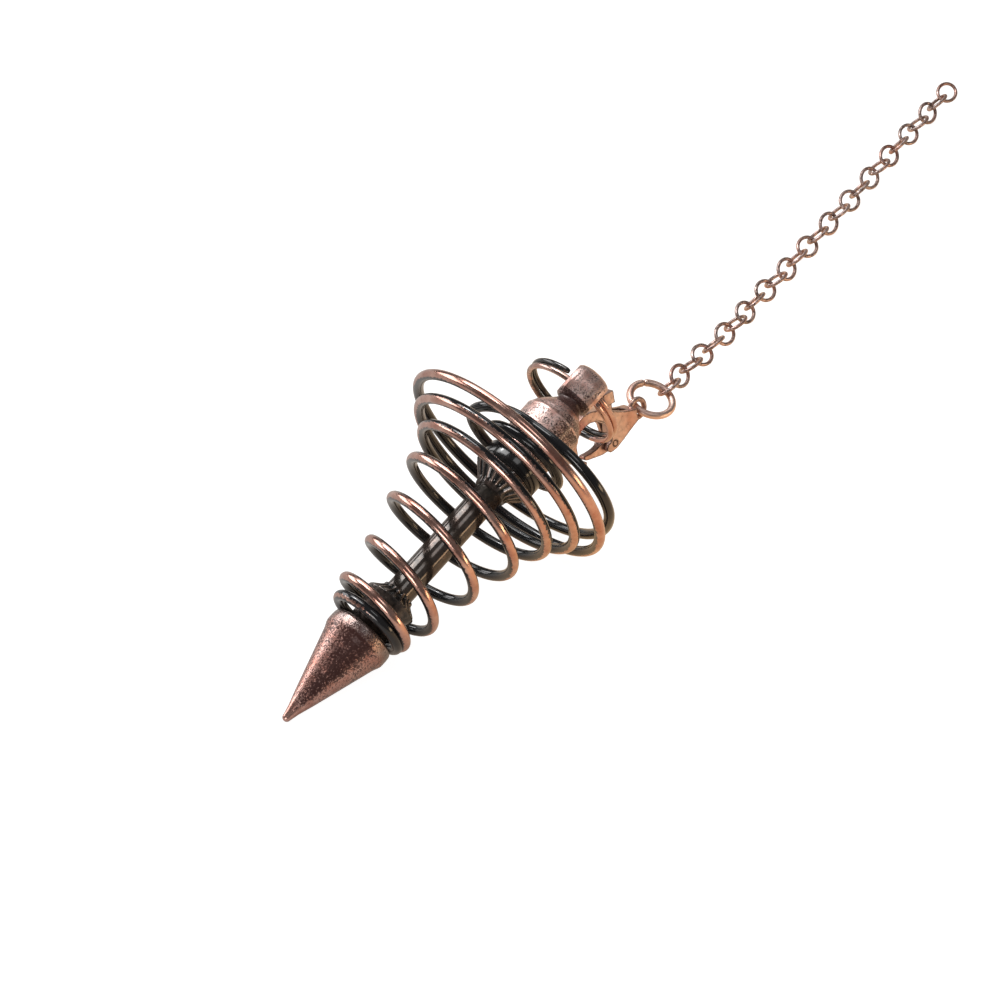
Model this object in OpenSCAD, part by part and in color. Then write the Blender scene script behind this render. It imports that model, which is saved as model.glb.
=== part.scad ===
// Dowsing pendulum pendant: a turned core inside a tapered wire coil, its split ring, clasp and chain.
// Everything lies on the floor z = 0 with the point of the cone at the origin and the chain along +X.
// The core stands along its own axis and is laid down by the angle at which its coil touches the floor.

/* [Wire coil] */
// outer diameter of the largest turn
coil_od = 26; // [24.7:0.1:27.3]
// diameter of the coil wire
wire_d = 1.11; // [1.05:0.01:1.15]
// distance of the largest turn from the point
coil_at = 34.5; // [33:0.1:36]
// how far the core sags below the middle of the coil
sag = 0.65; // [0.5:0.01:0.7]

/* [Cone and collars] */
// radius of the rounded point
tip_r = 0.45; // [0.35:0.01:0.5]
// length from the point to the shoulder of the cone
cone_l = 11.4; // [11:0.05:11.8]
// radius of the cone at its shoulder
cone_r = 3.52; // [3.3:0.02:3.7]
// radius of the plain rod
rod_r = 1.5; // [1.35:0.01:1.6]
// radius of the lower collar at its wide end
collar_r = 2.9; // [2.75:0.05:3]
// length of the lower collar above its wide end
collar_fall = 1.3; // [1.1:0.05:1.6]
// number of flutes round each collar
flutes = 20; // [16:1:24]
// depth of a flute
flute_d = 0.22; // [0.15:0.01:0.28]

/* [Hub and cap] */
// where the upper collar starts
hub_at = 30.6; // [30.2:0.1:31.2]
// radius of the drum
drum_r = 3.35; // [3.2:0.05:3.5]
// height of the drum
drum_h = 2.1; // [1.9:0.05:2.2]
// radius of the groove under the cap
groove_r = 2.9; // [2.7:0.05:3.1]
// radius of the cap
cap_r = 3.3; // [3.15:0.05:3.45]
// height of the cap from its rim to its shoulder
cap_h = 3.2; // [3:0.05:3.4]
// radius of the neck under the bail
neck_r = 1.3; // [1.15:0.05:1.5]
// diameter of the barrel-shaped bail at its middle
bail_d = 4.6; // [4.5:0.05:4.8]
// width of the bail along its bore
bail_w = 3.8; // [3.6:0.05:4]
// diameter of the bore of the bail
bore_d = 2.4; // [2.3:0.05:2.5]
// turn of the bore about the core axis
bail_turn = 32; // [25:1:40]

/* [Split ring] */
// outer diameter of the split ring
split_od = 11.4; // [11:0.1:11.8]
// diameter of its wire
split_wire = 0.64; // [0.58:0.01:0.68]

/* [Clasp] */
// length of the clasp over its eye
clasp_l = 12.2; // [11.9:0.05:12.5]
// thickness of the clasp
clasp_t = 2.2; // [2.05:0.05:2.4]
// thickness of the lever
lever_t = 0.9; // [0.8:0.05:1]
// radius of the lever pin
pin_r = 0.35; // [0.3:0.01:0.4]
// running clearance of the lever on its pin
pin_fit = 0.04; // [0.02:0.01:0.06]
// rise of the clasp toward its hook
clasp_rise = 4.5; // [4:0.1:6]
// roll of the clasp about its length
clasp_roll = 109; // [105:1:113]
// turn of the clasp on plan
clasp_yaw = 174.5; // [172:0.5:177]

/* [Jump ring and chain] */
// outer diameter of the jump ring
jump_od = 5.5; // [5.3:0.05:5.7]
// diameter of the jump ring wire
jump_wire = 0.8; // [0.74:0.01:0.82]
// outer length of a chain link
link_l = 3.6; // [3.5:0.02:3.75]
// outer width of a chain link
link_b = 2.65; // [2.5:0.02:2.8]
// diameter of the link wire
link_wire = 0.42; // [0.38:0.01:0.44]
// free play between two links
link_play = 0.14; // [0.12:0.01:0.2]
// number of links
link_n = 28; // [24:1:30]
// lean of every second link from flat
link_lean = 38; // [34:1:42]
// angle between the flat sides of two neighbouring links
link_cross = 79; // [75:1:90]

/* [Fits] */
// clearance between a piece and the rod through it
fit = 0.03; // [0.02:0.01:0.06]
// end play between two pieces on the rod
play = 0.05; // [0.03:0.01:0.1]

/* [Hidden] */
fine = 64;

wire_r = wire_d / 2;
coil_r = (coil_od - wire_d) / 2;

// turns of the coil from its hooked top end: turn, share of the way from the cone to coil_at, share of coil_r
coil_low = cone_l + 0.78;
turns = [
    [-0.92, 1.046, 0.33],
    [-0.5, 1.059, 0.38],
    [-0.25, 1.065, 0.425],
    [0, 1.059, 0.525],
    [0.25, 1.111, 0.435],
    [0.5, 1.071, 0.892],
    [1, 1, 1],
    [2, 0.924, 0.876],
    [3, 0.847, 0.723],
    [4, 0.705, 0.619],
    [5, 0.512, 0.53],
    [6, 0.297, 0.426],
    [7, 0.091, 0.374],
    [8, 0.006, 0.307],
    [8.65, 0, 0.304],
];
turn_first = turns[0][0];
turn_last = turns[len(turns) - 1][0];
turn_zero = 74.5;

// smooth curve through column c of the table, without overshoot
function step(c, i) = (turns[i + 1][c] - turns[i][c]) / (turns[i + 1][0] - turns[i][0]);
function slope(c, i) = i == 0 ? step(c, 0)
    : i == len(turns) - 1 ? step(c, i - 1)
    : step(c, i - 1) * step(c, i) <= 0 ? 0
    : 2 * step(c, i - 1) * step(c, i) / (step(c, i - 1) + step(c, i));
function row(t, i = 0) = i >= len(turns) - 2 || t < turns[i + 1][0] ? i : row(t, i + 1);
function blend(c, i, w, q) = (1 + 2 * q) * (1 - q) * (1 - q) * turns[i][c]
    + q * (1 - q) * (1 - q) * w * slope(c, i)
    + q * q * (3 - 2 * q) * turns[i + 1][c]
    - q * q * (1 - q) * w * slope(c, i + 1);
function curve(c, t) = let (i = row(t), w = turns[i + 1][0] - turns[i][0])
    blend(c, i, w, (t - turns[i][0]) / w);
function coil_s(t) = coil_low + (coil_at - coil_low) * curve(1, t);
function coil_rad(t) = coil_r * curve(2, t);
function coil_ang(t) = turn_zero - 360 * t;
// a point of the wire's middle line in the frame of the core, x down, y sideways, z along the core
function coil_pt(t) = [-(coil_rad(t) * cos(coil_ang(t)) + sag), coil_rad(t) * sin(coil_ang(t)), coil_s(t)];

// the core leans back until the largest turns of the coil touch the floor
function touch(p) = atan2(p[0], p[2]) + asin((wire_r - tip_r) / norm([p[0], p[2]]));
lean = max([for (t = [0.3:0.02:3.5]) touch(coil_pt(t))]);

// the pendant frame and the floor frame
function laid(p) = [
    p[0] * sin(lean) + p[2] * cos(lean),
    p[1],
    tip_r - p[0] * cos(lean) + p[2] * sin(lean),
];
function turned(p, a) = [
    [cos(a[2]), -sin(a[2]), 0],
    [sin(a[2]), cos(a[2]), 0],
    [0, 0, 1],
] * [
    [cos(a[1]), 0, sin(a[1])],
    [0, 1, 0],
    [-sin(a[1]), 0, cos(a[1])],
] * [
    [1, 0, 0],
    [0, cos(a[0]), -sin(a[0])],
    [0, sin(a[0]), cos(a[0])],
] * p;

// stations along the core
neck_at = cone_l + 0.05;
collar_at = cone_l + 3.9;
collar_low = cone_l + 1.8;
collar_end = collar_at + collar_fall;
fan_h = 2.35;
drum_at = hub_at + fan_h + play;
cap_at = drum_at + drum_h + play;
groove_h = 2.4;
rim_at = cap_at + groove_h;
top_at = rim_at + cap_h;
bail_at = top_at + 4.6;
bore_at = bail_at + 0.35;
socket_l = 3;
rod_low = cone_l - socket_l;
rod_high = cap_at + socket_l;
end_r = rod_r * 0.8;

// the split ring hangs centred in the bore of the bail, square to the core
split_r = (split_od - split_wire) / 2;
split_gap = 0.06;
split_mid = [split_r * cos(bail_turn), split_r * sin(bail_turn), bore_at];
split_off = split_wire / 2 + split_gap / 2;
split_low = laid([
    split_mid[0] + split_r * cos(bail_turn - 50),
    split_mid[1] + split_r * sin(bail_turn - 50),
    split_mid[2],
]);

// the clasp holds the lowest part of the split ring
clasp_k = clasp_l / 12.4;
clasp_turn = [clasp_roll, -clasp_rise, clasp_yaw];
hold = [6.65 * clasp_k, -0.35 * clasp_k, 0];
eye_at = split_low - turned(hold, clasp_turn);
eye_r = 1;
eye_wire = 0.3;

// the jump ring passes through the eye of the clasp
jump_r = (jump_od - jump_wire) / 2;
jump_turn = [14, 6, 0];
jump_at = eye_at + turned([jump_r, 0, 0], jump_turn);
jump_far = eye_at + turned([2 * jump_r, 0, 0], jump_turn);

// route of the chain from its first link: along, sideways and height shares of its length and drop
link_pitch = link_l - 2 * link_wire - link_play;
chain_l = link_pitch * (link_n - 1);
chain_from = jump_far + [link_l / 2 - link_wire - jump_wire / 2 - 0.2, 0.06, -0.06];
// how far each link is turned about the line of the chain, a little different from link to link
function link_turn(i) = (i % 2 == 0 ? link_lean - link_cross : link_lean) + 8 * sin(77 * i);
link_bend = (link_b - link_wire) / 2;
chain_lie = link_bend * max([for (i = [0:link_n - 1]) abs(sin(link_turn(i)))]) + link_wire / 2 + 0.02;
route_table = [
    [0, 0, 1],
    [0.04, 0.01, 0.88],
    [0.125, 0.026, 0.63],
    [0.205, 0.04, 0.43],
    [0.29, 0.061, 0.24],
    [0.4, 0.081, 0.06],
    [0.475, 0.095, 0],
    [0.61, 0.117, 0],
    [0.76, 0.144, 0],
    [0.87, 0.163, 0],
    [0.97, 0.18, 0],
    [1.1, 0.19, 0],
];
route = [for (p = route_table) [
    chain_from[0] + p[0] * chain_l,
    chain_from[1] + p[1] * chain_l,
    chain_lie + p[2] * (chain_from[2] - chain_lie),
]];
function leg(i) = norm(route[i + 1] - route[i]);
function along(d, i = 0) = i >= len(route) - 2 || d <= leg(i)
    ? route[i] + (route[i + 1] - route[i]) * d / leg(i)
    : along(d - leg(i), i + 1);
function unit(v) = v / norm(v);
function heading(i) = unit(along(i * link_pitch + link_pitch / 2) - along(i * link_pitch - link_pitch / 2));

// a wire swept along a list of points, with the direction of its first side at each
function side(p, i) = p[i][1];
function way(p, i) = unit(p[min(i + 1, len(p) - 1)][0] - p[max(i - 1, 0)][0]);
module wire(p, r, n) {
    rings = [for (i = [0:len(p) - 1])
        let (w = way(p, i), a = unit(side(p, i) - w * (w * side(p, i))), b = cross(w, a))
        [for (k = [0:n - 1]) p[i][0] + r * (cos(360 * k / n) * a + sin(360 * k / n) * b)]];
    last = (len(p) - 1) * n;
    faces = concat(
        [[for (k = [0:n - 1]) k]],
        [[for (k = [0:n - 1]) last + n - 1 - k]],
        [for (i = [0:len(p) - 2]) for (k = [0:n - 1])
            [i * n + k, (i + 1) * n + k, (i + 1) * n + (k + 1) % n, i * n + (k + 1) % n]]
    );
    polyhedron(points = [for (g = rings) for (q = g) q], faces = faces, convexity = 10);
}

// laid pendant frame
module pendant() {
    translate([0, 0, tip_r])
        rotate([0, 90 - lean, 0])
            children();
}

// a turned piece from rows of distance and radius, closed to the axis
module lathe(rows) {
    rotate_extrude($fn = fine)
        polygon(concat([[0, rows[0][0]]], [for (p = rows) [p[1], p[0]]], [[0, rows[len(rows) - 1][0]]]));
}

// hole for the rod
module rod_hole(from, to, r) {
    translate([0, 0, from])
        cylinder(h = to - from, r = r + fit, $fn = 32);
}

// rounded grooves laid along a cone between two rows of distance and radius
module flute_cuts(a, b) {
    for (k = [0:flutes - 1])
        rotate([0, 0, 360 * k / flutes])
            translate([a[1] + 0.2, 0, a[0]])
                rotate([0, atan2(b[1] - a[1], b[0] - a[0]), 0])
                    translate([0, 0, -1])
                        cylinder(h = norm([b[0] - a[0], b[1] - a[1]]) + 2, r = flute_d + 0.12, $fn = 16);
}

// copper cone with a rounded point and a bored back
module tip_cone() {
    color([0.5, 0.28, 0.2])
        pendant()
            difference() {
                union() {
                    sphere(r = tip_r, $fn = 48);
                    lathe([
                        [0.1, tip_r * 0.97],
                        [1, tip_r + 0.24],
                        [2.5, tip_r + 0.73],
                        [cone_l * 0.44, cone_r * 0.55],
                        [cone_l * 0.64, cone_r * 0.745],
                        [cone_l * 0.8, cone_r * 0.9],
                        [cone_l - 1.5, cone_r],
                        [cone_l - 0.8, cone_r],
                        [cone_l - 0.25, cone_r - 0.12],
                        [cone_l, cone_r - 0.4],
                    ]);
                }
                rod_hole(rod_low - play, cone_l + 1, end_r);
            }
}

// dark fluted collar, wide towards the point
module lower_collar() {
    wide = [collar_at + 0.1, collar_r];
    slim = [collar_end - 0.3, rod_r + 0.3];
    color([0.2, 0.18, 0.16])
        pendant()
            difference() {
                lathe([
                    [neck_at, rod_r + 0.75],
                    [collar_low, rod_r + 0.75],
                    [collar_low + 0.9, collar_r * 0.82],
                    [collar_at, collar_r],
                    wide,
                    slim,
                    [collar_end, rod_r + 0.25],
                ]);
                rod_hole(neck_at - 1, collar_end + 1, rod_r);
                flute_cuts(wide, slim);
            }
}

// plain rod with a thinner pin at each end
module rod() {
    color([0.3, 0.27, 0.22])
        pendant()
            lathe([
                [rod_low, end_r],
                [neck_at, end_r],
                [neck_at, rod_r],
                [cap_at - play, rod_r],
                [cap_at - play, end_r],
                [rod_high, end_r],
            ]);
}

// fluted collar opening upwards under the drum
module upper_collar() {
    boss = [hub_at + 0.45, rod_r + 0.4];
    wide = [hub_at + fan_h - 0.35, drum_r];
    color([0.2, 0.18, 0.16])
        pendant()
            difference() {
                lathe([
                    [hub_at, rod_r + 0.3],
                    boss,
                    wide,
                    [hub_at + fan_h, drum_r],
                ]);
                rod_hole(hub_at - 1, hub_at + fan_h + 1, rod_r);
                flute_cuts(boss, wide);
            }
}

// plain drum between the collar and the cap
module hub_drum() {
    color([0.36, 0.26, 0.22])
        pendant()
            difference() {
                lathe([
                    [drum_at, drum_r - 0.12],
                    [drum_at + 0.12, drum_r],
                    [drum_at + drum_h - 0.3, drum_r],
                    [drum_at + drum_h, drum_r - 0.3],
                ]);
                rod_hole(drum_at - 1, drum_at + drum_h + 1, rod_r);
            }
}

// cap, neck and bored bail in one casting
module cap_bail() {
    color([0.62, 0.4, 0.33])
        pendant()
            difference() {
                union() {
                    lathe([
                        [cap_at, groove_r],
                        [rim_at - 0.3, groove_r],
                        [rim_at, cap_r - 0.1],
                        [rim_at + 0.15, cap_r],
                        [top_at - 0.35, cap_r],
                        [top_at, cap_r - 0.12],
                        [top_at + 0.5, cap_r * 0.89],
                        [top_at + 1.05, cap_r * 0.76],
                        [top_at + 1.65, cap_r * 0.59],
                        [top_at + 2.25, cap_r * 0.44],
                        [top_at + 2.7, neck_r],
                        [bail_at, neck_r],
                    ]);
                    translate([0, 0, bail_at])
                        rotate([0, 0, bail_turn])
                            rotate([-90, 0, 0])
                                lathe([
                                    [-bail_w / 2, bail_d / 2 - 0.55],
                                    [-bail_w / 2 + 0.3, bail_d / 2 - 0.28],
                                    [-bail_w / 2 + 0.8, bail_d / 2 - 0.1],
                                    [-bail_w / 2 + 1.4, bail_d / 2],
                                    [bail_w / 2 - 1.4, bail_d / 2],
                                    [bail_w / 2 - 0.8, bail_d / 2 - 0.1],
                                    [bail_w / 2 - 0.3, bail_d / 2 - 0.28],
                                    [bail_w / 2, bail_d / 2 - 0.55],
                                ]);
                }
                rod_hole(cap_at - 1, rod_high + play, end_r);
                translate([0, 0, bore_at])
                    rotate([0, 0, bail_turn])
                        rotate([90, 0, 0])
                            cylinder(h = bail_w + 4, d = bore_d, center = true, $fn = fine);
            }
}

// the wire coil, from the hook round the hub to its end above the cone
module coil() {
    steps = 300;
    span = turn_last - turn_first;
    path = [for (i = [0:steps])
        let (t = turn_first + span * i / steps, a = coil_ang(t))
        [coil_pt(t), [-cos(a), sin(a), 0]]];
    color([0.66, 0.4, 0.32])
        pendant()
            wire(path, wire_r, 7);
}

// split ring of two touching turns, their ends stopping beside the crossing
module split_ring() {
    from = 25;
    to = 700;
    steps = 75;
    path = [for (i = [0:steps])
        let (
            a = from + (to - from) * i / steps,
            q = min(1, max(0, (a - 343) / 38)),
            f = 1 - 2 * q * q * (3 - 2 * q),
            b = bail_turn + 180 - a
        )
        [split_mid + [split_r * cos(b), split_r * sin(b), split_off * f], [cos(b), sin(b), 0]]];
    color([0.6, 0.4, 0.34])
        pendant()
            wire(path, split_wire / 2, 8);
}

// frame of the clasp: x from its eye to its hook, y to the thumb piece, z through its thickness
module clasp_frame() {
    translate(eye_at)
        rotate(clasp_turn)
            children();
}

// outline of the clasp body and hook
module clasp_shape() {
    scale([clasp_k, clasp_k])
        polygon([
            [0.5, 0.5], [1.8, 0.75], [2.8, 1.05], [3.8, 1.5], [5, 2.1], [6.2, 2.6], [7.3, 2.92],
            [8.4, 2.92], [9.5, 2.45], [10.4, 1.55], [11, 0.35], [11.15, -0.8], [10.75, -1.8],
            [10, -2.5], [9.1, -2.75], [8.95, -2.3], [9.6, -1.8], [10, -1.05], [10, -0.1],
            [9.6, 0.8], [8.8, 1.5], [7.7, 1.75], [6.5, 1.5], [5.6, 0.9], [5.1, 0.1],
            [4.95, -0.8], [5.15, -1.5], [5.7, -1.75], [6, -2.25], [5.5, -2.68], [4.6, -2.55],
            [3.4, -1.98], [2.2, -1.32], [0.5, -0.5],
        ]);
}
pivot = [4.7 * clasp_k, -1.9 * clasp_k];

// cast body with its eye, hook and the slot of the lever
module clasp_body() {
    color([0.72, 0.47, 0.38])
        clasp_frame()
            difference() {
                union() {
                    rotate_extrude($fn = 48)
                        translate([eye_r, 0])
                            circle(r = eye_wire, $fn = 24);
                    difference() {
                        translate([0, 0, -clasp_t / 2])
                            linear_extrude(height = clasp_t)
                                clasp_shape();
                        cylinder(h = clasp_t + 1, r = eye_r, center = true, $fn = 48);
                        for (s = [-1, 1])
                            translate([-1, 0, s * (eye_wire + 0.1)])
                                rotate([0, -s * 38, 0])
                                    translate([0, -2, s > 0 ? 0 : -3])
                                        cube([5, 4, 3]);
                    }
                }
                translate([1.9 * clasp_k, -4, -lever_t / 2 - 0.08])
                    cube([3.35 * clasp_k, 8, lever_t + 0.16]);
                translate([5 * clasp_k, -4, -lever_t / 2 - 0.08])
                    cube([1.4 * clasp_k, 4.6 * clasp_k, lever_t + 0.16]);
                translate([pivot[0], pivot[1], 0])
                    cylinder(h = clasp_t + 1, r = pin_r, center = true, $fn = 32);
            }
}

// lever with its thumb piece and gate, turning on the pin
module clasp_lever() {
    color([0.72, 0.47, 0.38])
        clasp_frame()
            difference() {
                union() {
                    translate([0, 0, -lever_t / 2])
                        linear_extrude(height = lever_t)
                            scale([clasp_k, clasp_k])
                                polygon([
                                    [4.1, -2.3], [5.1, -2.75], [6.2, -2.82], [7.4, -2.66], [8.35, -2.52],
                                    [8.75, -2.32], [8.65, -1.95], [7.8, -1.98], [7, -1.9], [6.1, -1.6],
                                    [5, -1.1], [4.85, 0.8], [4.75, 2.35], [3.75, 2.35], [3.85, 0.8],
                                    [3.9, -1.2],
                                ]);
                    translate([3.45 * clasp_k, 2.35 * clasp_k, -lever_t * 0.75])
                        cube([1.5 * clasp_k, 1.4 * clasp_k, lever_t * 1.5]);
                    translate([3.75 * clasp_k, 2.2 * clasp_k, -lever_t / 2])
                        cube([clasp_k, 0.3 * clasp_k, lever_t]);
                }
                translate([pivot[0], pivot[1], 0])
                    cylinder(h = 2, r = pin_r + pin_fit, center = true, $fn = 32);
            }
}

// riveted pin of the lever
module clasp_pin() {
    color([0.5, 0.33, 0.27])
        clasp_frame()
            translate([pivot[0], pivot[1], 0])
                cylinder(h = clasp_t, r = pin_r - 0.02, center = true, $fn = 32);
}

// closed round ring between the clasp and the chain
module jump_ring() {
    color([0.7, 0.45, 0.36])
        translate(jump_at)
            rotate(jump_turn)
                rotate_extrude($fn = fine)
                    translate([jump_r, 0])
                        circle(d = jump_wire, $fn = 24);
}

// one oval link lying in its own x and y
module link() {
    half = (link_l - link_b) / 2;
    for (s = [0, 180])
        rotate([0, 0, s]) {
            translate([half, 0, 0])
                rotate([0, 0, -90])
                    rotate_extrude(angle = 180, $fn = 40)
                        translate([link_bend, 0])
                            circle(d = link_wire, $fn = 20);
            translate([-half, link_bend, 0])
                rotate([0, 90, 0])
                    cylinder(h = 2 * half, d = link_wire, $fn = 20);
        }
}

// the cable chain along its route
module chain() {
    color([0.42, 0.28, 0.22])
        for (i = [0:link_n - 1])
            translate(along(i * link_pitch))
                rotate([0, -asin(heading(i)[2]), atan2(heading(i)[1], heading(i)[0])])
                    rotate([link_turn(i), 0, 0])
                        link();
}

tip_cone();
lower_collar();
rod();
upper_collar();
hub_drum();
cap_bail();
coil();
split_ring();
clasp_body();
clasp_lever();
clasp_pin();
jump_ring();
chain();
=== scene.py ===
import math

import bpy
import numpy
from mathutils import Matrix, Vector
from mathutils.kdtree import KDTree


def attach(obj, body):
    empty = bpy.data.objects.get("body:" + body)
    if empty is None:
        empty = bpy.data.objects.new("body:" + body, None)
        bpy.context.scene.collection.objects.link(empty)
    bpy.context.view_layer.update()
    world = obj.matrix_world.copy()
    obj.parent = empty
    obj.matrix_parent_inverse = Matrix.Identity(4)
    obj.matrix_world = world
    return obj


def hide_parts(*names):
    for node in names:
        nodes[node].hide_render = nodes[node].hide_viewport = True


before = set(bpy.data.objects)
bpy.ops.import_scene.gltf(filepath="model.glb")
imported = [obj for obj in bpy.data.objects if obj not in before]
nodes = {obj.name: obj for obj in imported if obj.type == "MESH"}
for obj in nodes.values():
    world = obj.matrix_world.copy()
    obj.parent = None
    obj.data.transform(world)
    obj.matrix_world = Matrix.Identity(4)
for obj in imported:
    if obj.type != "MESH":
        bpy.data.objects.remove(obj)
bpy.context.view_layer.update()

# Tip cone: the weight of the pendulum, turned from copper bar, blackened and then tumbled, so that the
# copper shows through in fine specks. A plain band runs round its shoulder, and its back is bored for
# the rod, on which it is pressed.
mm = 0.001
weld_within = 0.0005 * mm
core_lean = 18.1888
tip_round = 0.45
cone_rows = [
    (-0.447, 0.05), (-0.43, 0.135), (-0.38, 0.24), (-0.3, 0.335), (-0.18, 0.412), (-0.02, 0.452),
    (0.2, 0.49), (1, 0.69), (2.5, 1.18), (5, 1.935), (7.3, 2.625), (9.05, 3.15), (9.4, 3.29),
    (9.7, 3.43), (9.92, 3.505), (10.1, 3.52), (10.7, 3.52), (11, 3.5), (11.2, 3.45), (11.33, 3.35),
    (11.39, 3.2), (11.4, 3.05), (11.4, 1.24), (8.36, 1.24),
]
core_frame = Matrix.Translation((0, 0, tip_round * mm)) @ Matrix.Rotation(math.radians(90 - core_lean), 4, "Y")
into_core = core_frame.inverted()


def turned_piece(name, rows, place, sides=128):
    """A piece as turned on a lathe, from (distance, radius) rows in millimetres, set in its place.

    Rows that come back to their start make a piece that is bored through.
    """
    sharp_from = math.radians(32)
    bored = rows[0] == rows[-1]
    bpy.ops.object.select_all(action="DESELECT")
    bpy.ops.mesh.primitive_circle_add(
        vertices=sides, radius=rows[0][1] * mm, fill_type="NOTHING" if bored else "NGON")
    piece = bpy.context.object
    piece.name = name
    bpy.ops.object.mode_set(mode="EDIT")
    bpy.ops.mesh.select_all(action="SELECT")
    bpy.ops.transform.translate(value=(0, 0, rows[0][0] * mm))
    for before, after in zip(rows, rows[1:]):
        rise = (after[0] - before[0]) * mm
        bpy.ops.mesh.extrude_region_move(TRANSFORM_OT_translate={"value": (0, 0, rise)})
        widen = after[1] / before[1]
        bpy.ops.transform.resize(value=(widen, widen, 1), center_override=(0, 0, after[0] * mm))
    bpy.ops.mesh.select_all(action="SELECT")
    bpy.ops.mesh.remove_doubles(threshold=weld_within)
    bpy.ops.mesh.normals_make_consistent(inside=False)
    bpy.ops.object.mode_set(mode="OBJECT")
    piece.data.transform(place)
    bpy.ops.object.shade_smooth_by_angle(angle=sharp_from)
    return piece


def patina_group():
    """Black oxide on copper, showing the bare metal where Worn is high, with grain of a size in millimetres; on
    some pieces Worn also carries painted highlight and shade.
    """
    group = bpy.data.node_groups.new("Tumbled patina", "ShaderNodeTree")
    sockets = group.interface
    for name, kind, start in (
        ("Bare metal", "NodeSocketColor", (0.6, 0.3, 0.2, 1)),
        ("Oxide", "NodeSocketColor", (0.05, 0.04, 0.04, 1)),
        ("Worn", "NodeSocketFloat", 0.5),
        ("Grain size", "NodeSocketFloat", 0.3),
        ("Grain", "NodeSocketFloat", 0.6),
        ("Softness", "NodeSocketFloat", 0.12),
        ("Dullness", "NodeSocketFloat", 0.22),
    ):
        sockets.new_socket(name=name, in_out="INPUT", socket_type=kind).default_value = start
    sockets.new_socket(name="Colour", in_out="OUTPUT", socket_type="NodeSocketColor")
    sockets.new_socket(name="Roughness", in_out="OUTPUT", socket_type="NodeSocketFloat")
    sockets.new_socket(name="Metal", in_out="OUTPUT", socket_type="NodeSocketFloat")
    sockets.new_socket(name="Height", in_out="OUTPUT", socket_type="NodeSocketFloat")
    add = group.nodes.new
    tie = group.links.new

    def maths(operation, first, second, clamp=False):
        node = add("ShaderNodeMath")
        node.operation = operation
        node.use_clamp = clamp
        for socket, value in zip(node.inputs, (first, second)):
            if hasattr(value, "node"):
                tie(value, socket)
            else:
                socket.default_value = value
        return node.outputs[0]

    def plus(first, second, clamp=False):
        return maths("ADD", first, second, clamp)

    def times(first, second):
        return maths("MULTIPLY", first, second)

    def noise(scale, detail, roughness):
        node = add("ShaderNodeTexNoise")
        tie(where.outputs["Object"], node.inputs["Vector"])
        tie(scale, node.inputs["Scale"])
        node.inputs["Detail"].default_value = detail
        node.inputs["Roughness"].default_value = roughness
        return maths("SUBTRACT", node.outputs["Fac"], 0.5)

    given = add("NodeGroupInput").outputs
    made = add("NodeGroupOutput").inputs
    where = add("ShaderNodeTexCoord")
    fine_scale = maths("DIVIDE", 1000, given["Grain size"])
    fine = noise(fine_scale, 4, 0.6)
    broad = noise(times(fine_scale, 0.16), 3, 0.5)

    # How bare the metal is: 0 under whole oxide, 1 where it is rubbed through
    specks = times(plus(times(fine, 1.8), times(broad, 0.7)), given["Grain"])
    rubbed_through = add("ShaderNodeMapRange")
    rubbed_through.interpolation_type = "SMOOTHSTEP"
    tie(plus(given["Worn"], specks), rubbed_through.inputs["Value"])
    tie(maths("SUBTRACT", 0.5, given["Softness"]), rubbed_through.inputs["From Min"])
    tie(plus(0.5, given["Softness"]), rubbed_through.inputs["From Max"])
    bare = rubbed_through.outputs["Result"]

    # The bare metal has redder stains, and the oxide lies over it
    stain = add("ShaderNodeMix")
    stain.data_type = "RGBA"
    stain.blend_type = "MULTIPLY"
    tie(plus(times(broad, 2.2), 0.45, clamp=True), stain.inputs["Factor"])
    tie(given["Bare metal"], stain.inputs["A"])
    stain.inputs["B"].default_value = (0.58, 0.38, 0.33, 1)
    colour = add("ShaderNodeMix")
    colour.data_type = "RGBA"
    tie(bare, colour.inputs["Factor"])
    tie(given["Oxide"], colour.inputs["A"])
    tie(stain.outputs["Result"], colour.inputs["B"])
    tie(colour.outputs["Result"], made["Colour"])
    shine = times(given["Dullness"], plus(0.75, times(bare, 0.25)))
    tie(plus(shine, times(fine, 0.25)), made["Roughness"])
    tie(plus(0.25, times(bare, 0.75)), made["Metal"])
    tie(plus(times(bare, 0.6), fine), made["Height"])
    return group


patina = patina_group()


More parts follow.
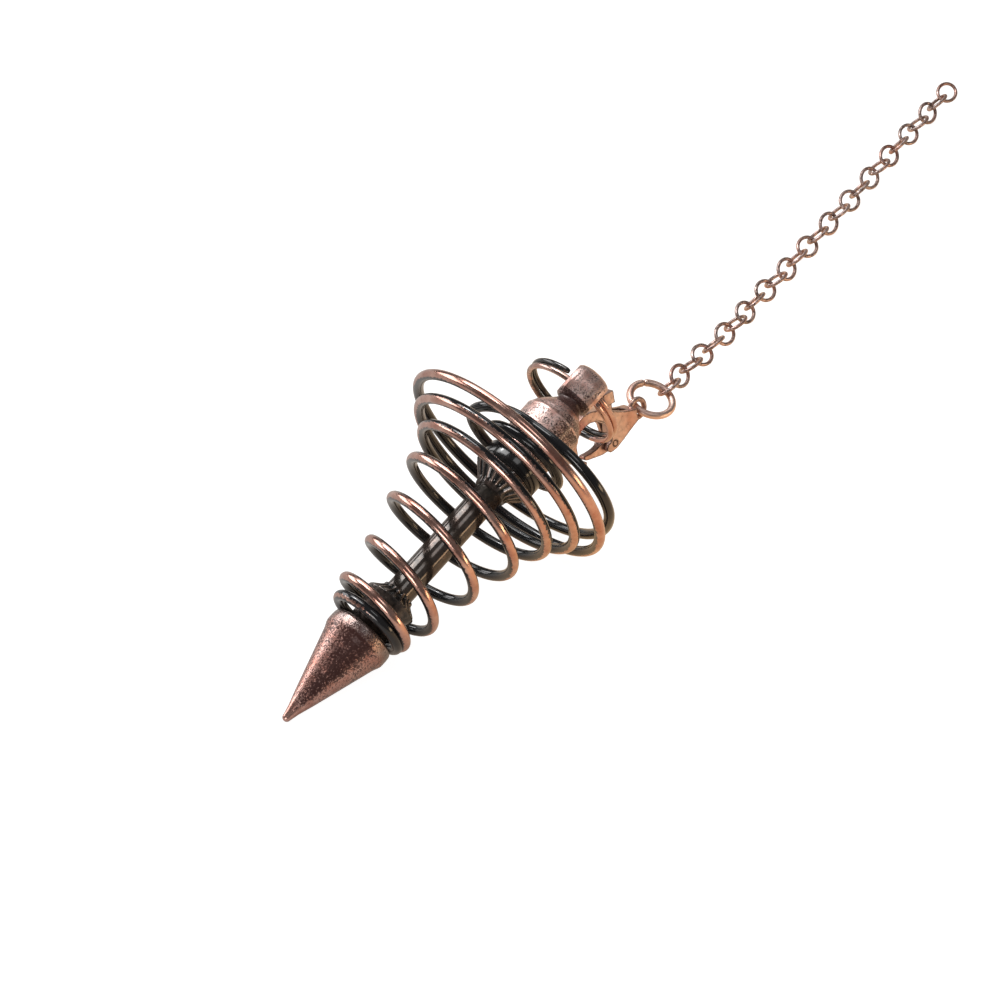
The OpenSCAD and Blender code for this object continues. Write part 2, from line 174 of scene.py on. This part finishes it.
def patina_metal(
    name, bare, oxide, wear_and_shading, size, grain, softness, relief, dull=0.22, coat=0.5, mask=None, gain=1.0, band=None,
):
    """A lacquered patina finish, with its grain's size and relief in millimetres.

    mask names an attribute of the piece that adds, times gain, to how bare the metal is; on some pieces it also
    carries painted highlight and shade. band names one that turns the bare metal to a second colour.
    """
    material = bpy.data.materials.new(name)
    material.use_nodes = True
    add = material.node_tree.nodes.new
    tie = material.node_tree.links.new
    shader = material.node_tree.nodes["Principled BSDF"]
    shader.inputs["Coat Weight"].default_value = coat
    shader.inputs["Coat Roughness"].default_value = 0.07
    finish = add("ShaderNodeGroup")
    finish.node_tree = patina
    for socket, value in (
        ("Bare metal", (*bare, 1)), ("Oxide", (*oxide, 1)), ("Worn", wear_and_shading), ("Grain size", size),
        ("Grain", grain), ("Softness", softness), ("Dullness", dull),
    ):
        finish.inputs[socket].default_value = value
    if mask:
        read = add("ShaderNodeAttribute")
        read.attribute_name = mask
        scaled = add("ShaderNodeMath")
        scaled.operation = "MULTIPLY_ADD"
        tie(read.outputs["Fac"], scaled.inputs[0])
        scaled.inputs[1].default_value = gain
        scaled.inputs[2].default_value = wear_and_shading
        tie(scaled.outputs[0], finish.inputs["Worn"])
    if band:
        attribute, second_metal = band
        read = add("ShaderNodeAttribute")
        read.attribute_name = attribute
        metal = add("ShaderNodeMix")
        metal.data_type = "RGBA"
        tie(read.outputs["Fac"], metal.inputs["Factor"])
        metal.inputs["A"].default_value = (*bare, 1)
        metal.inputs["B"].default_value = (*second_metal, 1)
        tie(metal.outputs["Result"], finish.inputs["Bare metal"])
    bump = add("ShaderNodeBump")
    bump.inputs["Distance"].default_value = relief * mm
    tie(finish.outputs["Height"], bump.inputs["Height"])
    tie(finish.outputs["Colour"], shader.inputs["Base Color"])
    tie(finish.outputs["Roughness"], shader.inputs["Roughness"])
    tie(finish.outputs["Metal"], shader.inputs["Metallic"])
    tie(bump.outputs["Normal"], shader.inputs["Normal"])
    return material


def write_mask(piece, name, values):
    """Writes an attribute of a piece, one value for each of its points."""
    mask = piece.data.attributes.new(name, "FLOAT", "POINT")
    mask.data.foreach_set("value", numpy.array(values, numpy.float32))


def mark_along(piece, name, stations):
    """Writes an attribute whose value follows the distance along the core, from (distance, value) pairs."""
    distances, values = zip(*stations)
    places = [(into_core @ vertex.co).z / mm for vertex in piece.data.vertices]
    write_mask(piece, name, numpy.interp(places, distances, values))


def mark_side(piece, name, middle, half, change, low=-9, high=99):
    """Adds a change to an attribute on one side of the core, between two distances along it.

    middle is the side's angle round the core, and half how many degrees the change fades over on each side.
    """
    for vertex, entry in zip(piece.data.vertices, piece.data.attributes[name].data):
        spot = into_core @ vertex.co
        away = abs((math.degrees(math.atan2(spot.y, spot.x)) - middle + 180) % 360 - 180)
        if away < half and low * mm < spot.z < high * mm:
            entry.value += change * (1 - (away / half) ** 2)


cone = turned_piece("cone", cone_rows, core_frame)
mark_along(cone, "wear_and_shading", [
    (0, 0.6), (0.8, 0.34), (2.5, 0.05), (8, -0.04), (9.9, -0.08), (10.2, 0.3), (11.4, 0.25),
])
# Painted light on the cone: a darker stripe round -146 degrees is painted shade, a brighter stripe round 172
# degrees is a painted highlight, and a brighter stripe round -96 degrees is a painted golden reflection.
mark_side(cone, "wear_and_shading", middle=-146, half=44, change=-0.26)
mark_side(cone, "wear_and_shading", middle=172, half=44, change=0.1, high=9.8)
mark_side(cone, "wear_and_shading", middle=-96, half=30, change=0.16, high=10.4)
mark_along(cone, "band", [(0, 0), (9.7, 0), (10.3, 1), (11.4, 1)])
cone.data.materials.append(patina_metal(
    "speckled_copper", (0.84, 0.53, 0.46), (0.07, 0.027, 0.023), wear_and_shading=0.5, size=0.2, grain=0.95, softness=0.2,
    relief=0.016, dull=0.28, coat=0.3, mask="wear_and_shading", band=("band", (0.42, 0.35, 0.33))))
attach(cone, "pendant")
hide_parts("tip_cone")

# Rod: plain steel-grey bronze rod, turned down to a thin pin at each end, pressed into the cone and the cap.
# It is blackened and lacquered, and shows a grey sheen.
rod_rows = [
    (8.4, 1.15), (8.45, 1.2), (11.45, 1.2), (11.45, 1.44), (11.51, 1.5), (35.04, 1.5), (35.1, 1.44),
    (35.1, 1.2), (38.1, 1.2), (38.15, 1.15),
]
rod = turned_piece("core_rod", rod_rows, core_frame)
rod.data.materials.append(patina_metal(
    "blackened_bronze", (0.26, 0.22, 0.19), (0.022, 0.02, 0.018), wear_and_shading=0.42, size=0.5, grain=0.4, softness=0.4,
    relief=0.001, dull=0.17))
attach(rod, "pendant")
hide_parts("rod")

# Fluted collars and drum: three cast bronze pieces threaded on the rod and held by solder. The flutes keep
# the black of the oxide bath, and their ridges are rubbed grey.
flutes = 20
flute_depth = 0.2
rod_clear = 1.6
drum_wear = -0.4
foot_rows = [
    (11.45, 1.53), (11.45, 2.18), (11.52, 2.25), (13.2, 2.25), (14.1, 2.38), (15.22, 2.86), (15.3, 2.89),
    (15.36, 2.89), (15.46, 2.84), (15.6, 2.68), (15.74, 2.5), (15.88, 2.31), (16.02, 2.13), (16.16, 1.96),
    (16.3, 1.82), (16.45, 1.77), (16.6, 1.74), (16.6, 1.53), (11.45, 1.53),
]
fan_rows = [
    (30.6, 1.53), (30.6, 1.79), (31.05, 1.9), (31.24, 2.08), (31.43, 2.26), (31.62, 2.44), (31.81, 2.62),
    (32, 2.8), (32.2, 2.98), (32.4, 3.16), (32.6, 3.33), (32.68, 3.35), (32.92, 3.35), (32.95, 3.32),
    (32.95, 1.53), (30.6, 1.53),
]
drum_rows = [
    (33, 1.53), (33, 3.23), (33.03, 3.3), (33.12, 3.35), (34.76, 3.35), (34.92, 3.26), (35.06, 3.12),
    (35.1, 3.05), (35.1, 1.53), (33, 1.53),
]


def press_flutes(piece, low, high):
    """Presses rounded flutes into a turned piece between two distances, and marks ridges 1 and grooves -1."""
    ridges = []
    for vertex in piece.data.vertices:
        spot = into_core @ vertex.co
        radius = math.hypot(spot.x, spot.y)
        wave = 0.5 + 0.5 * math.cos(flutes * math.atan2(spot.y, spot.x))
        run_in = min(1, max(0, (spot.z / mm - low) / 0.25))
        run_out = min(1, max(0, (high - spot.z / mm) / 0.15))
        share = run_in * run_out if radius >= rod_clear * mm else 0
        shrink = 1 - flute_depth * mm * wave ** 0.7 * share / radius
        vertex.co = core_frame @ Vector((spot.x * shrink, spot.y * shrink, spot.z))
        ridges.append((1 - 2 * wave ** 0.5) * share)
    write_mask(piece, "edge", ridges)


fluted_bronze = patina_metal(
    "fluted_bronze", (0.4, 0.35, 0.31), (0.012, 0.011, 0.011), wear_and_shading=0.42, size=0.6, grain=0.3, softness=0.25,
    relief=0.001, dull=0.26, mask="edge", gain=0.5)
for name, node, rows, fluted in (
    ("fluted_foot", "lower_collar", foot_rows, (15.3, 16.5)),
    ("fluted_fan", "upper_collar", fan_rows, (31, 32.9)),
    ("drum", "hub_drum", drum_rows, None),
):
    piece = turned_piece(name, rows, core_frame, sides=240)
    if fluted:
        press_flutes(piece, *fluted)
    else:
        write_mask(piece, "edge", [drum_wear] * len(piece.data.vertices))
    piece.data.materials.append(fluted_bronze)
    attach(piece, "pendant")
    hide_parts(node)

# Cap and bail: one copper casting, a round cap with a groove under its rim and a barrel-shaped bail on a
# neck, bored for the split ring. It is tumbled like the cone: its rims are rubbed bright, its neck is dark.
# One side of its wall is painted darker as shade.
bail_turn = 32
bail_at = 45.35
bore_off = 0.35
cap_rows = [
    (35.16, 2.9), (37.2, 2.9), (37.45, 3.12), (37.6, 3.26), (37.75, 3.3), (40.3, 3.3), (40.45, 3.32),
    (40.6, 3.3), (40.75, 3.18), (41.25, 2.92), (41.8, 2.5), (42.4, 1.95), (43, 1.45), (43.45, 1.3),
    (43.8, 1.3), (44.1, 1.3),
]
bail_rows = [
    (-1.9, 1.75), (-1.6, 2.02), (-1.1, 2.2), (-0.5, 2.3), (0.5, 2.3), (1.1, 2.2), (1.6, 2.02), (1.9, 1.75),
]
bore_rows = [(-4, 1.2), (4, 1.2)]


def select_only(*picked):
    """Selects these objects and nothing else, the last of them active."""
    bpy.ops.object.select_all(action="DESELECT")
    for each in picked:
        each.select_set(True)
    bpy.context.view_layer.objects.active = picked[-1]


def rounded(piece, voxel, rounds):
    """Remeshes a closed piece with cells of a size in millimetres, smooths it and marks its edges."""
    select_only(piece)
    if piece.data.has_custom_normals:
        bpy.ops.mesh.customdata_custom_splitnormals_clear()
    cells = piece.modifiers.new("cells", "REMESH")
    cells.mode = "VOXEL"
    cells.voxel_size = voxel * mm
    bpy.ops.object.modifier_apply(modifier=cells.name)
    soft = piece.modifiers.new("soft", "SMOOTH")
    soft.factor = 0.5
    soft.iterations = rounds
    bpy.ops.object.modifier_apply(modifier=soft.name)
    bpy.ops.object.shade_smooth()
    mark_edges(piece)
    return piece


def mark_edges(piece):
    """Writes how far each point stands out from its neighbours, about 1 on an outer edge and -1 in a groove."""
    mesh = piece.data
    count = len(mesh.vertices)
    points = numpy.empty(count * 3)
    mesh.vertices.foreach_get("co", points)
    points = points.reshape(count, 3)
    normals = numpy.empty(count * 3)
    mesh.vertices.foreach_get("normal", normals)
    normals = normals.reshape(count, 3)
    ends = numpy.empty(len(mesh.edges) * 2, dtype=numpy.int64)
    mesh.edges.foreach_get("vertices", ends)
    near, far = ends.reshape(-1, 2).T
    step = points[far] - points[near]
    length = numpy.linalg.norm(step, axis=1) + 1e-12
    total = numpy.zeros(count)
    neighbours = numpy.zeros(count)
    for here, way in ((near, step), (far, -step)):
        fall = -(normals[here] * way).sum(axis=1) / length
        numpy.add.at(total, here, fall)
        numpy.add.at(neighbours, here, 1)
    stand_out = total / numpy.maximum(neighbours, 1)
    for _ in range(4):
        spread = stand_out.copy()
        numpy.add.at(spread, near, stand_out[far])
        numpy.add.at(spread, far, stand_out[near])
        stand_out = spread / (neighbours + 1)
    strongest = numpy.percentile(numpy.abs(stand_out), 97) + 1e-9
    write_mask(piece, "edge", numpy.clip(stand_out / strongest, -1, 1))


bail_frame = (
    core_frame @ Matrix.Translation((0, 0, bail_at * mm)) @ Matrix.Rotation(math.radians(bail_turn), 4, "Z")
    @ Matrix.Rotation(math.radians(-90), 4, "X")
)
bore_frame = bail_frame @ Matrix.Translation((0, -bore_off * mm, 0))
cap = turned_piece("cap_and_bail", cap_rows, core_frame)
bail = turned_piece("bail_drum", bail_rows, bail_frame)
bore = turned_piece("bail_bore", bore_rows, bore_frame)
cut = bail.modifiers.new("bore", "BOOLEAN")
cut.operation = "DIFFERENCE"
cut.solver = "EXACT"
cut.object = bore
select_only(bail)
bpy.ops.object.modifier_apply(modifier=cut.name)
bpy.data.objects.remove(bore)
select_only(bail, cap)
bpy.ops.object.join()
rounded(cap, voxel=0.066, rounds=3)
# Painted shade: on one side of the cap's wall, round -108 degrees and below 41.6 mm along the core, the edge
# mark is pushed dark. The next mark darkens the neck all round.
mark_side(cap, "edge", middle=-108, half=42, change=-0.7, high=41.6)
mark_side(cap, "edge", middle=-149, half=240, change=-1.1, low=42.3, high=43.9)
cap.data.materials.append(patina_metal(
    "tumbled_copper", (0.96, 0.76, 0.71), (0.085, 0.045, 0.04), wear_and_shading=0.58, size=0.16, grain=1.25, softness=0.26,
    relief=0.018, dull=0.38, coat=0.4, mask="edge", gain=0.5))
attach(cap, "pendant")
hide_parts("cap_bail")

# Wire coil: one length of round copper wire wound on a tapered mandrel. Its top end hooks in round the drum
# and its bottom end closes on the cone. It is blackened, then rubbed so that its outer side is bright.
coil_turns = [
    (-0.92, 1.046, 0.33), (-0.5, 1.059, 0.38), (-0.25, 1.065, 0.425), (0, 1.059, 0.525), (0.25, 1.111, 0.435),
    (0.5, 1.071, 0.892), (1, 1, 1), (2, 0.924, 0.876), (3, 0.847, 0.723), (4, 0.705, 0.619), (5, 0.512, 0.53),
    (6, 0.297, 0.426), (7, 0.091, 0.374), (8, 0.006, 0.307), (8.65, 0, 0.304),
]
coil_low = 12.18
coil_high = 34.5
coil_radius = 12.445
coil_wire = 0.555
coil_sag = 0.65
coil_start = 74.5
coil_steps = 900

# Where the tumbling has rubbed the coil: the turn, how far the bright band leans to the point, and half its
# width, both in degrees. The band fades out over rubbed_fade degrees.
rubbed_fade = 30
rubbed_turns = [
    (-0.92, 20, -30), (0.6, 10, -30), (0.9, 5, 60), (1.2, 8, 64), (1.6, 20, 58), (1.95, 48, 44), (2.3, 52, 40),
    (2.6, 40, 42), (3, 45, 34), (3.3, 50, 32), (3.6, 35, 40), (4, 22, 40), (5, 15, 44), (6, 12, 46), (7, 8, 54),
    (7.6, 10, 52), (7.95, 38, 26), (8.2, 42, 14), (8.4, 45, -20), (8.65, 45, -30),
]


def eased(table, column, turn):
    """The table's value at a turn, on a smooth curve that doesn't overshoot."""
    def step(row):
        return (table[row + 1][column] - table[row][column]) / (table[row + 1][0] - table[row][0])

    def slope(row):
        if row == 0 or row == len(table) - 1:
            return step(min(row, len(table) - 2))
        before, after = step(row - 1), step(row)
        return 0 if before * after <= 0 else 2 * before * after / (before + after)

    row = max(k for k in range(len(table) - 1) if k == 0 or turn >= table[k][0])
    span = table[row + 1][0] - table[row][0]
    share = (turn - table[row][0]) / span
    rest = 1 - share
    return (
        (1 + 2 * share) * rest ** 2 * table[row][column] + share * rest ** 2 * span * slope(row)
        + share ** 2 * (1 + 2 * rest) * table[row + 1][column] - share ** 2 * rest * span * slope(row + 1)
    )


def round_wire(name, points, radius, place, closed=False, sides=20):
    """Round wire drawn along points in millimetres, its open ends rounded, set in its place."""
    curve = bpy.data.curves.new(name, "CURVE")
    curve.dimensions = "3D"
    curve.bevel_depth = radius * mm
    curve.bevel_resolution = (sides - 4) // 2
    curve.use_fill_caps = not closed
    line = curve.splines.new("POLY")
    line.points.add(len(points) - 1)
    for point, spot in zip(line.points, points):
        point.co = (*(Vector(spot) * mm), 1)
    line.use_cyclic_u = closed
    if not closed:
        for end, share in ((0, 0.72), (1, 0.93), (-1, 0.72), (-2, 0.93)):
            line.points[end].radius = share
    wire = bpy.data.objects.new(name, curve)
    bpy.context.scene.collection.objects.link(wire)
    select_only(wire)
    bpy.ops.object.convert(target="MESH")
    wire = bpy.context.object
    bpy.ops.object.mode_set(mode="EDIT")
    bpy.ops.mesh.select_all(action="SELECT")
    bpy.ops.mesh.remove_doubles(threshold=weld_within)
    bpy.ops.mesh.normals_make_consistent(inside=False)
    bpy.ops.object.mode_set(mode="OBJECT")
    wire.data.transform(place)
    bpy.ops.object.shade_smooth_by_angle(angle=math.radians(50))
    return wire


turns_along = numpy.linspace(coil_turns[0][0], coil_turns[-1][0], coil_steps + 1)
coil_points = []
for turn in turns_along:
    angle = math.radians(coil_start - 360 * turn)
    reach = coil_radius * eased(coil_turns, 2, turn)
    coil_points.append((
        -(reach * math.cos(angle) + coil_sag), reach * math.sin(angle),
        coil_low + (coil_high - coil_low) * eased(coil_turns, 1, turn)))
coil = round_wire("wire_coil", coil_points, coil_wire, core_frame)
core_way = (core_frame.to_3x3() @ Vector((0, 0, 1))).normalized()
coil_middle = core_frame @ Vector((-coil_sag * mm, 0, 0))
wire_spots = KDTree(len(coil_points))
for number, point in enumerate(coil_points):
    wire_spots.insert(core_frame @ (Vector(point) * mm), number)
wire_spots.balance()
rubbed_at, leans, halves = zip(*rubbed_turns)
lean_at = numpy.interp(turns_along, rubbed_at, leans)
half_at = numpy.interp(turns_along, rubbed_at, halves)
rubbed_and_shaded = []
for vertex in coil.data.vertices:
    spot, number, distance = wire_spots.find(vertex.co)
    out = spot - coil_middle
    out -= core_way * out.dot(core_way)
    lean = math.radians(lean_at[number])
    bright_way = out.normalized() * math.cos(lean) - core_way * math.sin(lean)
    away = math.degrees(vertex.normal.angle(bright_way))
    rubbed_and_shaded.append(max(-1.0, min(1.0, (half_at[number] - away) / rubbed_fade)))
write_mask(coil, "rubbed_and_shaded", rubbed_and_shaded)
coil.data.materials.append(patina_metal(
    "rubbed_copper", (0.82, 0.52, 0.43), (0.014, 0.014, 0.016), wear_and_shading=0.5, size=0.3, grain=1.05, softness=0.2,
    relief=0.006, dull=0.2, coat=0.5, mask="rubbed_and_shaded", gain=0.8))
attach(coil, "pendant")
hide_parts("coil")

# Split ring: a double loop of thin copper wire, sprung open and threaded through the bail. Its two turns lie
# against each other and cross once beside the cut ends.
ring_radius = 5.38
ring_wire = 0.32
ring_apart = 0.35
ring_steps = 300
ring_start = 25
ring_sweep = 675
cross_from = 343
cross_sweep = 38
ring_middle = (
    ring_radius * math.cos(math.radians(bail_turn)), ring_radius * math.sin(math.radians(bail_turn)),
    bail_at + bore_off,
)
ring_points = []
for i in range(ring_steps + 1):
    angle = ring_start + ring_sweep * i / ring_steps
    crossed = min(1, max(0, (angle - cross_from) / cross_sweep))
    side = 1 - 2 * crossed ** 2 * (3 - 2 * crossed)
    bearing = math.radians(bail_turn + 180 - angle)
    ring_points.append((
        ring_middle[0] + ring_radius * math.cos(bearing), ring_middle[1] + ring_radius * math.sin(bearing),
        ring_middle[2] + ring_apart * side))
ring = round_wire("double_ring", ring_points, ring_wire, core_frame)
ring_spot = core_frame @ (Vector(ring_middle) * mm)
rubbed_and_shaded = []
for vertex in ring.data.vertices:
    off = vertex.co - ring_spot
    height = off.dot(core_way)
    out = (off - core_way * height).normalized()
    # Brightest on the loop nearer the cap and on its right; black as painted shade where it lies lowest
    wear_and_shade = -height / (ring_apart * mm) * 0.5 + 0.1 * out.z - 0.7 * out.y - 0.5 * min(0, out.y)
    wear_and_shade -= 4 * max(0, -out.z - 0.62)
    rubbed_and_shaded.append(max(-1.0, min(1.0, wear_and_shade)))
write_mask(ring, "rubbed_and_shaded", rubbed_and_shaded)
ring.data.materials.append(patina_metal(
    "ring_copper", (0.74, 0.5, 0.43), (0.03, 0.027, 0.025), wear_and_shading=0.4, size=0.45, grain=0.6, softness=0.2,
    relief=0.003, mask="rubbed_and_shaded", gain=0.6))
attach(ring, "pendant")
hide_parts("split_ring")

# Lever clasp: cast copper body with an eye, a slot and a hook, and a lever gate on a riveted pin. The pieces
# are barrel polished, so their faces have a satin salmon shine and their edges are round. The dark of the
# oxide bath is left in the corners, and their outer edges are darkened as painted shade.


def soft_cast(name, source, voxel, rounds):
    """A cast copy of a CAD node, without its marks: triangles merged, remeshed finely, edges rounded."""
    piece = source.copy()
    piece.data = source.data.copy()
    piece.parent = None
    piece.name = name
    for key in list(piece.keys()):
        del piece[key]
    piece.data.materials.clear()
    bpy.context.scene.collection.objects.link(piece)
    select_only(piece)
    bpy.ops.object.mode_set(mode="EDIT")
    bpy.ops.mesh.select_all(action="SELECT")
    bpy.ops.mesh.remove_doubles(threshold=weld_within)
    bpy.ops.object.mode_set(mode="OBJECT")
    return rounded(piece, voxel, rounds)


satin_copper = patina_metal(
    "satin_copper", (0.85, 0.62, 0.53), (0.1, 0.055, 0.042), wear_and_shading=0.7, size=0.5, grain=0.4, softness=0.42,
    relief=0.003, dull=0.34, coat=0.2, mask="edge", gain=0.42)
for name, node, body in (
    ("clasp_hook", "clasp_body", "pendant"),
    ("clasp_gate", "clasp_lever", "lever"),
    ("clasp_rivet", "clasp_pin", "pendant"),
):
    piece = soft_cast(name, nodes[node], voxel=0.05, rounds=9)
    # Painted shade: every edge mark is turned dark, so the outer edges darken as well as the corners.
    for entry in piece.data.attributes["edge"].data:
        entry.value = -abs(entry.value)     # dark on outer edges too
    piece.data.materials.append(satin_copper)
    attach(piece, body)
    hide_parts(node)

# Jump ring: a closed ring of copper wire, cut from a wound coil and bent shut through the clasp's eye, with
# its seam left just visible.
jump_middle = Vector((55.3037, 0.67244, 5.08532)) * mm
jump_tilt = Matrix.Rotation(math.radians(6), 4, "Y") @ Matrix.Rotation(math.radians(14), 4, "X")
jump_radius = 2.35
jump_wire = 0.4
jump_steps = 120
seam_at = 62
seam_gap = 1.6
jump_points = []
for i in range(jump_steps + 1):
    angle = math.radians(seam_at + seam_gap / 2 + (360 - seam_gap) * i / jump_steps)
    jump_points.append((jump_radius * math.cos(angle), jump_radius * math.sin(angle), 0))
jump = round_wire("jump_loop", jump_points, jump_wire, Matrix.Translation(jump_middle) @ jump_tilt, sides=24)
write_mask(jump, "outside", [
    max(-1.0, min(1.0, vertex.normal.dot((vertex.co - jump_middle).normalized())))
    for vertex in jump.data.vertices
])
jump.data.materials.append(patina_metal(
    "jump_copper", (0.92, 0.7, 0.61), (0.14, 0.08, 0.06), wear_and_shading=0.72, size=0.6, grain=0.35, softness=0.3,
    relief=0.002, dull=0.4, coat=0.2, mask="outside", gain=0.15))
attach(jump, "pendant")
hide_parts("jump_ring")

# Chain: oval links of round wire, bent through each other and closed. It is blackened and only lightly
# tumbled, so it is browner and duller than the rest.
link_long = 3.6
link_wide = 2.65
link_wire = 0.21
link_pitch = 2.62
link_count = 28
link_steps = 48
link_lean = 38
link_cross = 79
link_swing = 8
swing_step = 77
chain_low = 1.06846
chain_from = (58.4208, 0.73244, 4.77968)
route_shares = [
    (0, 0, 1), (0.04, 0.01, 0.88), (0.125, 0.026, 0.63), (0.205, 0.04, 0.43), (0.29, 0.061, 0.24),
    (0.4, 0.081, 0.06), (0.475, 0.095, 0), (0.61, 0.117, 0), (0.76, 0.144, 0), (0.87, 0.163, 0),
    (0.97, 0.18, 0), (1.1, 0.19, 0),
]
chain_length = link_pitch * (link_count - 1)
route = [
    Vector((
        chain_from[0] + along * chain_length, chain_from[1] + aside * chain_length,
        chain_low + height * (chain_from[2] - chain_low)))
    for along, aside, height in route_shares
]


def along_route(distance):
    """The point of the chain's route at a distance from its first link."""
    for here, there in zip(route, route[1:]):
        leg = (there - here).length
        if distance <= leg or there is route[-1]:
            return here + (there - here) * (distance / leg)
        distance -= leg


link_points = []
for i in range(link_steps):
    angle = 2 * math.pi * i / link_steps
    link_points.append((
        (link_long / 2 - link_wire) * math.cos(angle), (link_wide / 2 - link_wire) * math.sin(angle), 0))
link = round_wire("link", link_points, link_wire, Matrix.Identity(4), closed=True, sides=12)
links = []
for i in range(link_count):
    heading = (along_route((i + 0.5) * link_pitch) - along_route((i - 0.5) * link_pitch)).normalized()
    turn = link_lean if i % 2 else link_lean - link_cross
    turn += link_swing * math.sin(math.radians(swing_step * i))
    place = (
        Matrix.Translation(along_route(i * link_pitch) * mm)
        @ Matrix.Rotation(math.atan2(heading.y, heading.x), 4, "Z")
        @ Matrix.Rotation(-math.asin(heading.z), 4, "Y")
        @ Matrix.Rotation(math.radians(turn), 4, "X")
    )
    copy = link.copy()
    copy.data = link.data.copy()
    copy.data.transform(place)
    bpy.context.scene.collection.objects.link(copy)
    links.append(copy)
bpy.data.objects.remove(link)
chain = links[-1]
chain.name = "rolo_chain"
select_only(*links)
bpy.ops.object.join()
chain.data.materials.append(patina_metal(
    "chain_copper", (0.82, 0.65, 0.6), (0.13, 0.085, 0.075), wear_and_shading=0.54, size=0.5, grain=0.7, softness=0.25,
    relief=0.003, dull=0.36, coat=0.3))
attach(chain, "pendant")
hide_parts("chain")

# Table: a plain white top that glows, which the camera sees as even white. The copper sees its glow as a
# painted reflection, dimmer, as under a small light tent, golden to the right of the pendant and dark farther
# away.
bpy.ops.object.select_all(action="DESELECT")
bpy.ops.mesh.primitive_grid_add(x_subdivisions=2, y_subdivisions=2, size=3)
table = bpy.context.object
table.name = "table_top"
white = bpy.data.materials.new("white_table")
white.use_nodes = True
add = white.node_tree.nodes.new
tie = white.node_tree.links.new
white_shader = white.node_tree.nodes["Principled BSDF"]
white_shader.inputs["Base Color"].default_value = (0.3, 0.3, 0.3, 1)
white_shader.inputs["Roughness"].default_value = 0.9
white_shader.inputs["Emission Strength"].default_value = 1.0
table_spot = add("ShaderNodeTexCoord").outputs["Object"]


def ramp(value, low, high):
    """A soft step from 0 to 1 between two values."""
    node = add("ShaderNodeMapRange")
    node.interpolation_type = "SMOOTHSTEP"
    node.inputs["From Min"].default_value = low
    node.inputs["From Max"].default_value = high
    tie(value, node.inputs["Value"])
    return node.outputs["Result"]


def blended(share, first, second):
    """A mix of two colours, each given as numbers or as a socket."""
    node = add("ShaderNodeMix")
    node.data_type = "RGBA"
    tie(share, node.inputs["Factor"])
    for socket, colour in (("A", first), ("B", second)):
        if hasattr(colour, "node"):
            tie(colour, node.inputs[socket])
        else:
            node.inputs[socket].default_value = (*colour, 1)
    return node.outputs["Result"]


to_the_right = add("ShaderNodeVectorMath")
to_the_right.operation = "DOT_PRODUCT"
to_the_right.inputs[1].default_value = (0.673, -0.74, 0)
tie(table_spot, to_the_right.inputs[0])
from_pendant = add("ShaderNodeVectorMath")
from_pendant.operation = "DISTANCE"
from_pendant.inputs[1].default_value = (0.036, 0.005, 0)
tie(table_spot, from_pendant.inputs[0])
# Painted reflection: the glow seen in the copper, grey near the pendant, golden to its right, dark farther off.
near = blended(ramp(to_the_right.outputs["Value"], 0.0, 0.04), (0.22, 0.2, 0.18), (0.62, 0.37, 0.15))
painted_reflection = blended(ramp(from_pendant.outputs["Value"], 0.05, 0.14), near, (0.1, 0.085, 0.07))
to_camera = add("ShaderNodeLightPath").outputs["Is Camera Ray"]
tie(blended(to_camera, painted_reflection, (0.93, 0.93, 0.93)), white_shader.inputs["Emission Color"])
table.data.materials.append(white)

# Camera: above, in front of the point and to its right, as the photograph was taken, with the pendant left
# of the picture's middle and the chain running out to the upper right.
looked_at = Vector((36.85, 5.51, 0)) * mm
azimuth, elevation, distance = math.radians(-47.73), math.radians(43.3), 0.29
back = Vector((
    math.sin(azimuth) * math.cos(elevation), -math.cos(azimuth) * math.cos(elevation), math.sin(elevation)))
right = Vector((math.cos(azimuth), math.sin(azimuth), 0))
lens = bpy.data.cameras.new("camera")
lens.lens = 99.26
lens.sensor_width = 36
lens.sensor_fit = "HORIZONTAL"
lens.clip_start = 0.01
camera = bpy.data.objects.new("camera", lens)
bpy.context.scene.collection.objects.link(camera)
stand = Matrix((right, back.cross(right), back)).transposed().to_4x4()
stand.translation = looked_at + back * distance
camera.matrix_world = stand
bpy.context.scene.camera = camera
bpy.context.scene.view_settings.view_transform = "Standard"

# Lights: soft white panels, a long one above on the left, one behind, two low on the left, and a low warm
# one on the right, which the lower sides of the copper reflect. Each has its way and distance from the
# pendant, its width, height, power and colour.
pendant_middle = Vector((40, 0, 8)) * mm
for name, way, away, width, height, power, colour in (
    ("key_above_left", (0.05, 0.52, 0.85), 0.4, 0.14, 0.28, 0.72, (1, 1, 1)),
    ("key_spark", (0.1, 0.62, 0.78), 0.42, 0.05, 0.05, 0.22, (1, 1, 1)),
    ("overhead_front", (0.05, -0.42, 0.9), 0.45, 0.16, 0.16, 0.15, (1, 1, 1)),
    ("above_behind", (0.5, 0.5, 0.7), 0.4, 0.28, 0.2, 0.28, (1, 1, 1)),
    ("low_left", (-0.2, 0.94, 0.3), 0.4, 0.3, 0.16, 0.48, (1, 0.98, 0.98)),
    ("low_front_left", (-0.92, -0.25, 0.28), 0.35, 0.16, 0.12, 0.32, (1, 0.96, 0.94)),
    ("low_right", (0.44, -0.88, 0.1), 0.4, 0.3, 0.07, 0.28, (1, 0.7, 0.42)),
):
    way = Vector(way).normalized()
    panel = bpy.data.lights.new(name, "AREA")
    panel.shape = "RECTANGLE"
    panel.size = width
    panel.size_y = height
    panel.energy = power
    panel.color = colour
    holder = bpy.data.objects.new(name, panel)
    bpy.context.scene.collection.objects.link(holder)
    holder.location = pendant_middle + way * away
    holder.rotation_euler = way.to_track_quat("Z", "Y").to_euler()

room = bpy.data.worlds.new("room")
bpy.context.scene.world = room
room.use_nodes = True
room.node_tree.nodes["Background"].inputs["Color"].default_value = (1, 1, 1, 1)
room.node_tree.nodes["Background"].inputs["Strength"].default_value = 0.13
